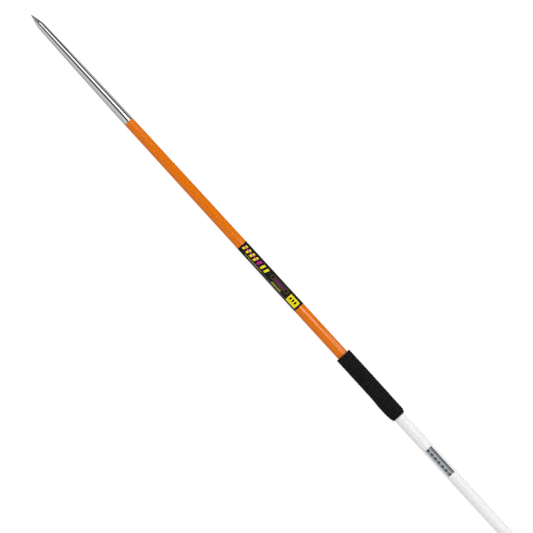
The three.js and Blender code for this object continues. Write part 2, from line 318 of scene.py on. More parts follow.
# A row of printed bars, one Pitch apart. Share is how much of each pitch is inked.
def makeBarRow():
    tree, given, made = newGroup(
        "bar row",
        {"Along": 0, "Around": 0, "Start": 0, "End": 1, "Middle": 0, "Width": 1,
         "Slant": 0, "Pitch": 1, "Share": 1},
        ["Mask", "Count"],
    )
    rise = calculate(tree, "SUBTRACT", given["Around"], given["Middle"])
    run = calculate(tree, "SUBTRACT", given["Along"], given["Start"])
    shifted = calculate(tree, "SUBTRACT", run, calculate(tree, "MULTIPLY", rise, given["Slant"]))
    length = calculate(tree, "SUBTRACT", given["End"], given["Start"])
    halfWidth = calculate(tree, "MULTIPLY", given["Width"], 0.5)
    inWidth = calculate(tree, "LESS_THAN", calculate(tree, "ABSOLUTE", rise), halfWidth)
    started = calculate(tree, "GREATER_THAN", shifted, 0)
    notEnded = calculate(tree, "LESS_THAN", shifted, length)
    count = calculate(tree, "DIVIDE", shifted, given["Pitch"])
    inked = calculate(tree, "LESS_THAN", calculate(tree, "FRACT", count), given["Share"])
    inRow = calculate(tree, "MULTIPLY", calculate(tree, "MULTIPLY", started, notEnded), inWidth)
    tree.links.new(calculate(tree, "MULTIPLY", inRow, inked), made["Mask"])
    tree.links.new(calculate(tree, "FLOOR", count), made["Count"])
    return tree


# A rounded box, as a filled shape and as an outline
def makeRoundedBox():
    tree, given, made = newGroup(
        "rounded box",
        {"Along": 0, "Around": 0, "Start": 0, "End": 1, "Middle": 0, "Width": 1,
         "Corner": 0.1, "Line": 0.1},
        ["Fill", "Outline"],
    )
    length = calculate(tree, "SUBTRACT", given["End"], given["Start"])
    halfLength = calculate(tree, "MULTIPLY", length, 0.5)
    middle = calculate(tree, "ADD", given["Start"], halfLength)
    halfWidth = calculate(tree, "MULTIPLY", given["Width"], 0.5)
    beyond = []
    for place, centre, half in (("Along", middle, halfLength), ("Around", given["Middle"], halfWidth)):
        off = calculate(tree, "ABSOLUTE", calculate(tree, "SUBTRACT", given[place], centre))
        straight = calculate(tree, "SUBTRACT", half, given["Corner"])
        beyond.append(calculate(tree, "MAXIMUM", calculate(tree, "SUBTRACT", off, straight), 0))
    squares = [calculate(tree, "MULTIPLY", part, part) for part in beyond]
    reach = calculate(tree, "SQRT", calculate(tree, "ADD", *squares))
    inside = calculate(tree, "LESS_THAN", reach, given["Corner"])
    innerCorner = calculate(tree, "SUBTRACT", given["Corner"], given["Line"])
    inner = calculate(tree, "LESS_THAN", reach, innerCorner)
    tree.links.new(inside, made["Fill"])
    tree.links.new(calculate(tree, "SUBTRACT", inside, inner), made["Outline"])
    return tree


# Fine rings left by turning, slow smears left by hands, and hairline scratches along the shaft
def makeTurned():
    tree, given, made = newGroup(
        "turned metal",
        {"Place": None, "Ring Pitch": 0.0003, "Smear Size": 0.02, "Scratch Limit": 0.3},
        ["Rings", "Smear", "Scratches"],
    )
    along = addNode(tree, "ShaderNodeSeparateXYZ", {0: given["Place"]}).outputs["X"]
    ringPlace = calculate(tree, "DIVIDE", along, given["Ring Pitch"])
    ringInputs = {"W": ringPlace, "Scale": 1, "Detail": 3}
    rings = addNode(tree, "ShaderNodeTexNoise", ringInputs, noise_dimensions="1D").outputs[0]
    stretching = {"Vector": given["Place"], "Scale": effects["scratchScale"]}
    stretched = addNode(tree, "ShaderNodeMapping", stretching).outputs[0]
    streaks = noise(tree, stretched, size=1, detail=1)
    tree.links.new(rings, made["Rings"])
    tree.links.new(noise(tree, given["Place"], given["Smear Size"], detail=4), made["Smear"])
    tree.links.new(calculate(tree, "LESS_THAN", streaks, given["Scratch Limit"]), made["Scratches"])
    return tree


# Sprayed enamel: a faint orange peel, slow drift in its thickness and a few dust nibs
def makeEnamel():
    tree, given, made = newGroup(
        "sprayed enamel",
        {"Place": None, "Peel Size": 0.0014, "Drift Size": 0.06,
         "Nib Spacing": 0.009, "Nib Share": 0.02},
        ["Peel", "Drift", "Nibs"],
    )
    nibScale = calculate(tree, "DIVIDE", 1, given["Nib Spacing"])
    nibs = addNode(tree, "ShaderNodeTexVoronoi", {"Vector": given["Place"], "Scale": nibScale})
    near = calculate(tree, "LESS_THAN", nibs.outputs["Distance"], given["Nib Share"])
    tree.links.new(noise(tree, given["Place"], given["Peel Size"], detail=1), made["Peel"])
    tree.links.new(noise(tree, given["Place"], given["Drift Size"], detail=3), made["Drift"])
    tree.links.new(near, made["Nibs"])
    return tree


# Wear that starts at an edge across the shaft and breaks up away from it
def makeEdgeWear():
    tree, given, made = newGroup(
        "edge wear", {"Place": None, "Edge": 0, "Reach": 0.002, "Break Size": 0.0012}, ["Mask"]
    )
    along = addNode(tree, "ShaderNodeSeparateXYZ", {0: given["Place"]}).outputs["X"]
    away = calculate(tree, "ABSOLUTE", calculate(tree, "SUBTRACT", along, given["Edge"]))
    reaches = calculate(tree, "DIVIDE", away, given["Reach"])
    fade = calculate(tree, "MULTIPLY", reaches, effects["wearFade"])
    rough = noise(tree, given["Place"], given["Break Size"], detail=4)
    worn = remap(tree, calculate(tree, "SUBTRACT", rough, fade), 0, 1, *effects["wearLimits"])
    tree.links.new(worn, made["Mask"])
    return tree


# Crossing strands, one Spacing apart: a woven cloth or, slanted, a braid
def makeStrands():
    tree, given, made = newGroup(
        "crossing strands",
        {"Place": None, "Along": 0, "Around": 0, "Spacing": 0.001, "Slant": 0, "Fray": 0.2},
        ["Height", "Fibres"],
    )
    first = calculate(tree, "MULTIPLY_ADD", given["Around"], given["Slant"], given["Along"])
    lean = calculate(tree, "MULTIPLY", given["Along"], given["Slant"])
    second = calculate(tree, "SUBTRACT", lean, given["Around"])
    waves = []
    for value in (first, second):
        spacings = calculate(tree, "DIVIDE", value, given["Spacing"])
        turned = calculate(tree, "MULTIPLY", spacings, math.pi)
        waves.append(calculate(tree, "ABSOLUTE", calculate(tree, "SINE", turned)))
    fibreSize = calculate(tree, "MULTIPLY", given["Spacing"], effects["fibreShare"])
    fibres = noise(tree, given["Place"], fibreSize)
    loose = calculate(tree, "MULTIPLY", fibres, given["Fray"])
    tree.links.new(calculate(tree, "ADD", calculate(tree, "MAXIMUM", *waves), loose), made["Height"])
    tree.links.new(fibres, made["Fibres"])
    return tree


unrolledGroup = makeUnrolled()
barRowGroup = makeBarRow()
roundedBoxGroup = makeRoundedBox()
turnedGroup = makeTurned()
enamelGroup = makeEnamel()
edgeWearGroup = makeEdgeWear()
strandGroup = makeStrands()
print("node groups made")


# Shape tools. Every piece is made about the shaft's axis and then lifted to its height.

shape = {
    "sides": 128,
    "crease": 35,  # degrees, the least angle that stays a crisp edge
}


def finishPiece(name, mesh, material, node):
    work = bmesh.new()
    work.from_mesh(mesh)
    bmesh.ops.recalc_face_normals(work, faces=work.faces)
    work.to_mesh(mesh)
    work.free()
    mesh.polygons.foreach_set("use_smooth", [True] * len(mesh.polygons))
    mesh.set_sharp_from_angle(angle=math.radians(shape["crease"]))
    mesh.materials.append(material)
    piece = bpy.data.objects.new(name, mesh)
    piece.location = (0, 0, axisZ)
    bpy.context.scene.collection.objects.link(piece)
    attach(piece, "root")
    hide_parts(node)


# Turns an outline of (x, radius) pairs. A radius of zero is a point on the axis.
def turnedMesh(name, outline, closed=False):
    sides = shape["sides"]
    points = []
    rings = []
    for x, radius in outline:
        count = sides if radius > 0 else 1
        rings.append(range(len(points), len(points) + count))
        for side in range(count):
            angle = 2 * math.pi * side / sides
            points.append((x, radius * math.sin(angle), radius * math.cos(angle)))
    pairs = list(zip(rings, rings[1:]))
    if closed:
        pairs.append((rings[-1], rings[0]))
    faces = []
    for near, far in pairs:
        for side in range(sides):
            after = (side + 1) % sides
            if len(near) == 1:
                faces.append((near[0], far[side], far[after]))
            elif len(far) == 1:
                faces.append((near[after], near[side], far[0]))
            else:
                faces.append((near[side], near[after], far[after], far[side]))
    mesh = bpy.data.meshes.new(name)
    mesh.from_pydata(points, [], faces)
    return mesh


def tubeMesh(name, outside, bore):
    return turnedMesh(name, [*outside, *reversed(bore)], closed=True)


def between(first, last, count):
    return [first + (last - first) * step / count for step in range(count + 1)]


# A broken edge on the front of a turned piece, from its end face round to its outside
def roundedEdge(x, radius, size, steps=5):
    turns = between(0, math.pi / 2, steps)
    return [(x + size * (1 - math.cos(turn)), radius - size * (1 - math.sin(turn))) for turn in turns]


# Steel head: the solid point and the hollow shell behind it

head = {
    "tipRadius": 0.0008,
    "coneAngle": 26,  # whole angle, degrees
    "pointDiameter": 0.0121,
    "rearDiameter": 0.018,
    "taperPower": 1.3,
    "shoulderBlend": 0.006,
    "collar": 0.009,  # from the point's shoulder back to the joint
    "wall": 0.0009,
    "clearance": 0.00015,  # round the point's shank
    "shankLength": 0.02,
    "spigotRadius": 0.00745,
    "edge": 0.0002,
    "joint": 0.0001,
    "tipSteps": 10,
    "coneSteps": 8,
    "shoulderSteps": 16,
    "shellSteps": 32,
}

headCone = math.radians(head["coneAngle"] / 2)
noseX = tipX + head["tipRadius"] * (1 - math.sin(headCone))
noseRadius = head["tipRadius"] * math.cos(headCone)
cornerX = noseX + (head["pointDiameter"] / 2 - noseRadius) / math.tan(headCone)
headRearX = shoulderX - head["joint"]


def headRadiusAt(x):
    share = (headRearX - x) / (headRearX - cornerX)
    loss = (head["rearDiameter"] - head["pointDiameter"]) * share ** head["taperPower"]
    return (head["rearDiameter"] - loss) / 2


steelFinish = {
    "colour": (0.95, 0.95, 0.955, 1),
    "smearColour": (0.87, 0.87, 0.88, 1),
    "rimTint": (0.5, 0.5, 0.5, 1),
    "roughness": (0.04, 0.08),
    "scratchRoughness": 0.1,
    "ringPitch": 0.00028,
    "ringDepth": 0.0000015,
}


def makePolishedSteel():
    material, tree, shader, place = newMaterial("polished steel", Metallic=1)
    shader.inputs["Specular Tint"].default_value = steelFinish["rimTint"]
    marks = useGroup(tree, turnedGroup, **{"Place": place, "Ring Pitch": steelFinish["ringPitch"]})
    colour = mixColours(tree, marks["Smear"], steelFinish["colour"], steelFinish["smearColour"])
    tree.links.new(colour, shader.inputs["Base Color"])
    worked = calculate(tree, "MULTIPLY", calculate(tree, "ADD", marks["Rings"], marks["Smear"]), 0.5)
    smooth = remap(tree, worked, *steelFinish["roughness"], *noiseCore)
    scratched = calculate(tree, "MULTIPLY", marks["Scratches"], steelFinish["scratchRoughness"])
    tree.links.new(calculate(tree, "ADD", smooth, scratched), shader.inputs["Roughness"])
    addBump(tree, shader, marks["Rings"], steelFinish["ringDepth"])
    return material


def addPoint(material):
    tip = head["tipRadius"]
    edge = head["edge"]
    blend = head["shoulderBlend"]
    cornerRadius = head["pointDiameter"] / 2
    turns = between(0, math.pi / 2 - headCone, head["tipSteps"])
    outline = [(tipX + tip * (1 - math.cos(turn)), tip * math.sin(turn)) for turn in turns]
    before = cornerRadius - math.tan(headCone) * blend
    after = headRadiusAt(cornerX + blend)
    for share in between(0, 1, head["coneSteps"])[1:-1]:
        x = noseX + (cornerX - blend - noseX) * share
        outline.append((x, noseRadius + (before - noseRadius) * share))
    for share in between(0, 1, head["shoulderSteps"]):
        rest = 1 - share
        radius = before * rest ** 2 + 2 * cornerRadius * share * rest + after * share ** 2
        outline.append((cornerX + blend * (2 * share - 1), radius))
    jointX = cornerX + head["collar"]
    shankRadius = headRadiusAt(jointX) - head["wall"] - head["clearance"]
    outline += [
        (jointX - edge, headRadiusAt(jointX - edge)),
        (jointX, headRadiusAt(jointX) - edge),
        (jointX, shankRadius),
        (jointX + head["shankLength"], shankRadius),
        (jointX + head["shankLength"], 0),
    ]
    mesh = turnedMesh("steel_point", outline)
    finishPiece("steel_point", mesh, material, "point")


def addHeadShell(material):
    edge = head["edge"]
    wall = head["wall"]
    spigotRadius = head["spigotRadius"]
    frontX = cornerX + head["collar"] + head["joint"]
    places = between(frontX + edge, headRearX - edge, head["shellSteps"])
    outside = [
        (frontX, headRadiusAt(frontX) - edge),
        *((x, headRadiusAt(x)) for x in places),
        (headRearX, headRadiusAt(headRearX) - edge),
        (headRearX, spigotRadius),
        (headHigh.x - edge, spigotRadius),
        (headHigh.x, spigotRadius - edge),
    ]
    bore = [
        *((x, headRadiusAt(x) - wall) for x in between(frontX, headRearX - wall, head["shellSteps"])),
        (headRearX - wall, spigotRadius - wall),
        (headHigh.x, spigotRadius - wall),
    ]
    mesh = tubeMesh("steel_head", outside, bore)
    finishPiece("steel_head", mesh, material, "head_shell")


polishedSteel = makePolishedSteel()
addPoint(polishedSteel)
addHeadShell(polishedSteel)
print("head made")


# Shaft: two enamelled tubes that meet under the grip

shaft = {
    "frontDiameter": 0.0181,
    "frontPower": 1.5,
    "tailDiameter": 0.006,
    "rearPower": 3.13,
    "wall": 0.00145,
    "edge": 0.0004,
    "stations": 60,
}

enamelFinish = {
    "orange": [(0.715, 0.164, 0.003, 1), (0.695, 0.157, 0.003, 1)],
    "orangeGloss": 0.36,
    "orangeRoughness": (0.05, 0.08),
    "white": [(0.82, 0.804, 0.813, 1), (0.8, 0.785, 0.793, 1)],
    "whiteRoughness": (0.4, 0.5),
    "whiteGloss": 0.5,
    "bare": (0.6, 0.6, 0.6, 1),
    "depth": 0.0000012,
    "wearReach": 0.0008,
}


def shaftRadiusAt(x):
    frontShare = max(gripFrontX - x, 0) / (gripFrontX - shoulderX)
    rearShare = max(x - gripRearX, 0) / (tailX - gripRearX)
    frontLoss = (2 * tubeRadius - shaft["frontDiameter"]) * frontShare ** shaft["frontPower"]
    rearLoss = (2 * tubeRadius - shaft["tailDiameter"]) * rearShare ** shaft["rearPower"]
    return tubeRadius - (frontLoss + rearLoss) / 2


def makeEnamelled(name, colour, edgeX):
    material, tree, shader, place = newMaterial(name)
    shader.inputs["Specular IOR Level"].default_value = enamelFinish[colour + "Gloss"]
    skin = useGroup(tree, enamelGroup, Place=place)
    worn = useGroup(
        tree, edgeWearGroup, Place=place, Edge=edgeX, Reach=enamelFinish["wearReach"]
    )["Mask"]
    paint = mixColours(tree, skin["Drift"], *enamelFinish[colour])
    tree.links.new(mixColours(tree, worn, paint, enamelFinish["bare"]), shader.inputs["Base Color"])
    tree.links.new(worn, shader.inputs["Metallic"])
    roughness = remap(tree, skin["Drift"], *enamelFinish[colour + "Roughness"], *noiseSpread)
    tree.links.new(roughness, shader.inputs["Roughness"])
    addBump(tree, shader, calculate(tree, "ADD", skin["Peel"], skin["Nibs"]), enamelFinish["depth"])
    return material


def addTube(name, node, material):
    low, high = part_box(node)
    places = between(low.x, high.x, shaft["stations"])
    outside = roundedEdge(low.x, shaftRadiusAt(low.x), shaft["edge"])
    outside += [(x, shaftRadiusAt(x)) for x in (low.x + 2 * shaft["edge"], *places[1:])]
    bore = [(x, shaftRadiusAt(x) - shaft["wall"]) for x in places]
    finishPiece(name, tubeMesh(name, outside, bore), material, node)


orangeEnamel = makeEnamelled("orange enamel", "orange", shoulderX)
whiteEnamel = makeEnamelled("white enamel", "white", rearTubeEndX)
addTube("front_tube", "shaft_front", orangeEnamel)
addTube("rear_tube", "shaft_rear", whiteEnamel)
print("shaft made")


# Tail plug

plug = {
    "clearance": 0.00015,
    "seat": 0.0001,  # between the end of the tube and the plug's face
    "edge": 0.00025,
    "colour": (0.017, 0.017, 0.018, 1),
    "rubbedColour": (0.032, 0.032, 0.034, 1),
    "roughness": (0.45, 0.6),
    "grainSize": 0.0004,
    "grainDepth": 0.00001,
    "rubReach": 0.004,
    "steps": 12,
}


def makeMouldedPlastic():
    material, tree, shader, place = newMaterial("moulded plastic")
    grain = noise(tree, place, plug["grainSize"], detail=3)
    rub = useGroup(tree, edgeWearGroup, Place=place, Edge=tailX, Reach=plug["rubReach"])["Mask"]
    colour = mixColours(tree, rub, plug["colour"], plug["rubbedColour"])
    tree.links.new(colour, shader.inputs["Base Color"])
    tree.links.new(remap(tree, grain, *plug["roughness"], *noiseSpread), shader.inputs["Roughness"])
    addBump(tree, shader, grain, plug["grainDepth"])
    return material


def addTailPlug():
    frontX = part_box("tail_plug")[0].x
    faceX = rearTubeEndX + plug["seat"]
    shankRadius = shaftRadiusAt(rearTubeEndX) - shaft["wall"] - plug["clearance"]
    domeRadius = shaft["tailDiameter"] / 2
    domeX = tailX - domeRadius
    flank = [(x, shaftRadiusAt(x)) for x in between(faceX + plug["edge"], domeX, plug["steps"])]
    turns = between(0, math.pi / 2, plug["steps"])
    dome = [(domeX + domeRadius * math.sin(turn), domeRadius * math.cos(turn)) for turn in turns]
    outline = [
        (frontX, 0),
        (frontX, shankRadius),
        (faceX, shankRadius),
        *roundedEdge(faceX, shaftRadiusAt(faceX), plug["edge"])[:-1],
        *flank,
        *dome[1:-1],
        (tailX, 0),
    ]
    mesh = turnedMesh("tail_cap", outline)
    finishPiece("tail_cap", mesh, makeMouldedPlastic(), "tail_plug")


addTailPlug()
print("tail plug made")


# Films: a thin sheet laid round the shaft, closed at its edges

film = {
    "gap": 0.00008,  # glue between the enamel and the film
    "columns": 96,
}


def filmMesh(name, halfWidthAt, thickness, rows):
    columns = film["columns"]
    points = []
    for lift in (film["gap"], film["gap"] + thickness):
        for x in rows:
            radius = shaftRadiusAt(x) + lift
            halfAngle = halfWidthAt(x) / shaftRadiusAt(x)
            for turn in between(-halfAngle, halfAngle, columns):
                out = facingOut * math.cos(turn) + facingUp * math.sin(turn)
                points.append(Vector((x, 0, 0)) + out * radius)
    width = columns + 1
    layer = width * len(rows)
    faces = []
    for row in range(len(rows) - 1):
        for column in range(columns):
            first = row * width + column
            face = (first, first + 1, first + width + 1, first + width)
            faces.append(face[::-1])
            faces.append(tuple(index + layer for index in face))
    rim = list(range(width))
    rim += [row * width + columns for row in range(1, len(rows))]
    rim += [layer - 2 - column for column in range(columns)]
    rim += [row * width for row in range(len(rows) - 2, 0, -1)]
    for near, far in zip(rim, rim[1:] + rim[:1]):
        faces.append((near, far, far + layer, near + layer))
    mesh = bpy.data.meshes.new(name)
    mesh.from_pydata(points, [], faces)
    return mesh


# Printed wrap. Its print is plain bars and boxes, in millimetres from its front edge and middle line;
# the grey band along its lower side is partly print and partly painted reflection of the floor.

wrap = {
    "thickness": 0.00012,
    "seam": 0.0015,
    "rows": 48,
    "gloss": 0.14,
    "film": (0.006, 0.0056, 0.0054, 1),
    "scuff": (0.011, 0.0105, 0.0104, 1),
    "scuffSpread": (0.35, 0.7),  # values of the noise from clean to scuffed film
    "filmRoughness": (0.42, 0.55),
    "inkRoughness": 0.4,
    "inkRise": 0.5,  # height of the ink beside that of the film's own unevenness
    "depth": 0.000005,
}

yellowInk = (0.8, 0.68, 0, 1)
magentaInk = (0.5, 0, 0.22, 1)
purpleInk = (0.21, 0, 0.14, 1)
oliveInk = (0.13, 0.12, 0.01, 1)
paleInk = (0.45, 0.42, 0.03, 1)
greyInkAndSheen = (0.048, 0.045, 0.044, 1)

printedRows = [
    # colour, start, end, middle, width, slant, pitch, share of each pitch that is inked
    (yellowInk, 4.6, 66.5, 1.3, 9.4, 0.3, 9.1, 0.48),
    (magentaInk, 4.6, 38, 1.8, 1.9, 0.3, 40, 1),
    # partly print and partly painted reflection: a grey band along the lower side of the wrap, lighter
    # than the film, where the film mirrors the bright floor
    (greyInkAndSheen, 25, 145.6, -10.1, 7.9, 0, 200, 1),
    (paleInk, 14.5, 57.5, -7.1, 1.2, 0, 2.3, 0.75),
    (purpleInk, 80.4, 107.3, 1.9, 3.8, 0.3, 3.9, 0.62),
    (paleInk, 81.7, 104.5, -5.6, 3.2, 0, 3.3, 0.62),
]
magentaBar = 4  # the fifth of the slanted bars
sameBar = 0.1  # how close a bar's count has to be
perMetre = 1000  # millimetres
outlineBox = (73.1, 114.5, 2.4, 7.8, 2.6, 0.7)  # start, end, middle, width, corner, line
patchBox = (119.7, 141.6, -1.1, 14.4, 0.9, 0.1)
patchBars = (122.9, 138.7, 0, 5.6, 0, 5.6, 0.6)


def makePrintedFilm(frontX):
    material, tree, shader, place = newMaterial("printed film")
    shader.inputs["Specular IOR Level"].default_value = wrap["gloss"]
    flat = useGroup(tree, unrolledGroup, Place=place)
    along = calculate(tree, "MULTIPLY", calculate(tree, "SUBTRACT", flat["Along"], frontX), perMetre)
    around = calculate(tree, "MULTIPLY", flat["Around"], perMetre)

    def barRow(start, end, middle, width, slant, pitch, share):
        return useGroup(
            tree, barRowGroup, Along=along, Around=around, Start=start, End=end,
            Middle=middle, Width=width, Slant=slant, Pitch=pitch, Share=share,
        )

    def box(start, end, middle, width, corner, line):
        return useGroup(
            tree, roundedBoxGroup, Along=along, Around=around, Start=start, End=end,
            Middle=middle, Width=width, Corner=corner, Line=line,
        )

    skin = useGroup(tree, enamelGroup, Place=place)
    scuffed = remap(tree, skin["Drift"], 0, 1, *wrap["scuffSpread"])
    colour = mixColours(tree, scuffed, wrap["film"], wrap["scuff"])
    ink = 0
    for index, (rowColour, *sizes) in enumerate(printedRows):
        row = barRow(*sizes)
        if index == 0:
            special = calculate(tree, "COMPARE", row["Count"], magentaBar, sameBar)
            rowColour = mixColours(tree, special, rowColour, magentaInk)
        colour = mixColours(tree, row["Mask"], colour, rowColour)
        ink = calculate(tree, "MAXIMUM", row["Mask"], ink)
    colour = mixColours(tree, box(*outlineBox)["Outline"], colour, oliveInk)
    patch = box(*patchBox)["Fill"]
    colour = mixColours(tree, patch, colour, yellowInk)
    colour = mixColours(tree, barRow(*patchBars)["Mask"], colour, wrap["film"])
    ink = calculate(tree, "MAXIMUM", patch, ink)
    tree.links.new(colour, shader.inputs["Base Color"])
    bare = remap(tree, skin["Drift"], *wrap["filmRoughness"], *noiseSpread)
    inked = calculate(tree, "MULTIPLY", ink, wrap["inkRoughness"])
    uninked = calculate(tree, "MULTIPLY", calculate(tree, "SUBTRACT", 1, ink), bare)
    tree.links.new(calculate(tree, "ADD", inked, uninked), shader.inputs["Roughness"])
    height = calculate(tree, "MULTIPLY_ADD", ink, wrap["inkRise"], skin["Peel"])
    addBump(tree, shader, height, wrap["depth"])
    return material


def addWrap():
    low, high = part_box("label_wrap")

    def halfWidthAt(x):
        return math.pi * shaftRadiusAt(x) - wrap["seam"] / 2

    rows = between(low.x, high.x, wrap["rows"])
    mesh = filmMesh("printed_wrap", halfWidthAt, wrap["thickness"], rows)
    finishPiece("printed_wrap", mesh, makePrintedFilm(low.x), "label_wrap")


addWrap()
print("wrap made")


# Foil patch: bands and round spots pressed into a reflecting film

foil = {
    "width": 0.0146,
    "corner": 0.0008,
    "thickness": 0.00008,
    "cornerRows": 6,
    "flatRows": 40,
    "bands": [
        # place across, from the lower edge at 0 to the upper at 1, and colour
        (0.0, (0.39, 0.3, 0.31, 1)),
        (0.2, (0.34, 0.33, 0.38, 1)),
        (0.4, (0.27, 0.37, 0.36, 1)),
        (0.53, (0.5, 0.54, 0.52, 1)),
        (0.66, (0.13, 0.126, 0.15, 1)),
        (1.0, (0.125, 0.13, 0.15, 1)),
    ],
    "spots": [
        # colours, pitch, start, length, width, middle, strength
        (((0.02, 0.085, 0.06, 1), (0.025, 0.05, 0.09, 1)), 0.0091, 0.003, 0.0068, 0.0052, -0.0025, 1),
        (((0.05, 0.06, 0.055, 1), (0.06, 0.06, 0.085, 1)), 0.0058, 0.0022, 0.004, 0.0026, 0.0056, 0.7),
    ],
    "spotEdge": (0.2, 1.3),  # squared distances, in radii, at which a spot starts to fade and ends
    "spotHues": (0.42, 0.58),  # values of the slow noise from one of a spot's colours to the other
    "flashColours": [(0.34, 0.27, 0.36, 1), (0.22, 0.36, 0.35, 1)],
    "flashHues": (0.4, 0.6),  # the same for the flashes
    "flashSize": 0.0022,
    "flashSpread": (0.5, 0.72),  # values of the fine noise from no flash to a full one
    "flashShare": 0.6,  # how much of the bands a full flash hides
    "slowSize": 0.0088,
    "metallic": 0.15,
    "roughness": (0.35, 0.5),
    "depth": 0.00001,
}


def makeFoil(frontX):
    material, tree, shader, place = newMaterial("pressed foil", Metallic=foil["metallic"])
    flat = useGroup(tree, unrolledGroup, Place=place)
    along = calculate(tree, "SUBTRACT", flat["Along"], frontX)
    half = foil["width"] / 2
    across = remap(tree, flat["Around"], 0, 1, -half, half)
    ramp = addNode(tree, "ShaderNodeValToRGB", {"Fac": across})
    stops = ramp.color_ramp.elements
    stops[0].position, stops[0].color = foil["bands"][0]
    stops[1].position, stops[1].color = foil["bands"][-1]
    for position, colour in foil["bands"][1:-1]:
        stops.new(position).color = colour
    flash = noise(tree, place, foil["flashSize"])
    slow = noise(tree, place, foil["slowSize"], detail=1)
    flashHue = remap(tree, slow, 0, 1, *foil["flashHues"])
    flashColour = mixColours(tree, flashHue, *foil["flashColours"])
    flashing = remap(tree, flash, 0, foil["flashShare"], *foil["flashSpread"])
    colour = mixColours(tree, flashing, ramp.outputs["Color"], flashColour)
    spotHue = remap(tree, slow, 0, 1, *foil["spotHues"])
    for colours, pitch, start, length, width, middle, strength in foil["spots"]:
        phase = calculate(tree, "MULTIPLY_ADD", along, 1 / pitch, 0.5 - start / pitch)
        run = calculate(tree, "SUBTRACT", calculate(tree, "FRACT", phase), 0.5)
        rise = calculate(tree, "SUBTRACT", flat["Around"], middle)
        stretchX = calculate(tree, "MULTIPLY", run, 2 * pitch / length)
        stretchY = calculate(tree, "MULTIPLY", rise, 2 / width)
        squareY = calculate(tree, "MULTIPLY", stretchY, stretchY)
        squares = calculate(tree, "MULTIPLY_ADD", stretchX, stretchX, squareY)
        spot = remap(tree, squares, strength, 0, *foil["spotEdge"])
        colour = mixColours(tree, spot, colour, mixColours(tree, spotHue, *colours))
    tree.links.new(colour, shader.inputs["Base Color"])
    tree.links.new(remap(tree, flash, *foil["roughness"], *noiseSpread), shader.inputs["Roughness"])
    addBump(tree, shader, flash, foil["depth"])
    return material


def addFoil():
    low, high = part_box("foil_sticker")
    corner = foil["corner"]

    def halfWidthAt(x):
        into = max(corner - min(x - low.x, high.x - x), 0)
        return foil["width"] / 2 - corner + math.sqrt(max(corner * corner - into * into, 0))

    turns = between(0, math.pi / 2, foil["cornerRows"])
    frontRows = [low.x + corner * (1 - math.cos(turn)) for turn in turns]
    rearRows = [high.x - corner * (1 - math.cos(turn)) for turn in reversed(turns)]
    rows = [*frontRows, *between(low.x + corner, high.x - corner, foil["flatRows"])[1:-1], *rearRows]
    mesh = filmMesh("foil_patch", halfWidthAt, foil["thickness"], rows)
    finishPiece("foil_patch", mesh, makeFoil(low.x), "foil_sticker")


addFoil()
print("foil patch made")


# Grip: a braided cord wound tight over the tape, its ends tucked under the last turns

cord = {
    "turns": 31.9,
    "fill": 0.99,  # width of the cord as a share of the pitch
    "stepOver": (0.84, 1),  # part of each turn, underneath and out of sight, where it moves on one pitch
    "fullness": (4, 2),  # 2 is an ellipse, more is squarer; along the grip and at the last turn
    "sides": 16,
    "stepsPerTurn": 96,
    "tuckTurns": 0.12,
    "tuckShare": 0.55,  # how much thinner the cord is at its tucked ends
    "lastShare": 0.25,  # how much thinner the last turn is pulled
    "lastTurns": (0.6, 1.4),  # counted from the rear, up to where that is so and where it starts
    "fatter": 0.00025,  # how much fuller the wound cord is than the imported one
    "swell": 0.00045,  # how much further out the rear turns lie
    "swellPlaces": (0.008, 0.03),  # where along X that starts and is full
    "rearDrop": 0.0009,  # how much lower the last turn lies
    "rearDropTurns": 1.3,  # counted from the rear, where that starts
    "bulges": [
        # height, middle and reach along X, then middle and spread round the shaft, in degrees from
        # the side that faces the viewer
        (0.0008, 0.042, 0.014, -90, 35),  # the lower edge of the rear third
        (0.00095, -0.033, 0.062, 90, 42),  # the upper edge of the front two thirds
    ],
    "wander": 0.00007,  # how much further in or out a single turn may lie
    "seed": 11,
}

cordFinish = {
    "colour": (0.0025, 0.0025, 0.0026, 1),
    "litFibreColour": (0.022, 0.022, 0.0224, 1),
    "gloss": 0.12,
    "roughness": (0.75, 0.95),
    "strand": 0.0011,
    "slant": 0.8,
    "depth": 0.00012,
    "litHeights": (0.7, 1.15),  # painted light and shade: heights of the braid from fibres left dark in its hollows to fibres made lighter on its raised strands
    "worn": (1.9, 0.1),  # share of the lighter fibres on the crown of a turn and in the groove beside it: painted light on the crown, with some wear, and painted shade in the groove
    "crown": (0.1, 0.55),  # where the crown ends and the groove starts, as cosines round the cord
    "patch": 0.007,
    "patchShare": (0.6, 1.4),  # share of the lit fibres in a dull and in a worn patch
}

cordPitch = (gripRearX - gripFrontX) / (math.floor(cord["turns"]) + cord["fill"])
cordWidth = cordPitch * cord["fill"]
cordThickness = gripRadius - tapeRadius
cordGirth = math.pi * (cordWidth + cordThickness) / 2


def easeIn(value, start, end):
    share = min(max((value - start) / (end - start), 0), 1)
    return share * share * (3 - 2 * share)


def signedPower(value, power):
    return math.copysign(abs(value) ** power, value)


# The winding is fuller in places, as over an end that is drawn in under the turns. Round the shaft
# a bulge rises softly, and along it the bulge is nearly even up to its reach.
def bulgeAt(x, turned):
    total = 0
    for height, middle, reach, direction, spread in cord["bulges"]:
        aside = (turned - direction + 180) % 360 - 180
        roundShare = math.exp(-(aside / spread) ** 2)
        alongShare = math.exp(-((x - middle) / reach) ** 4)
        total += height * roundShare * alongShare
    return total


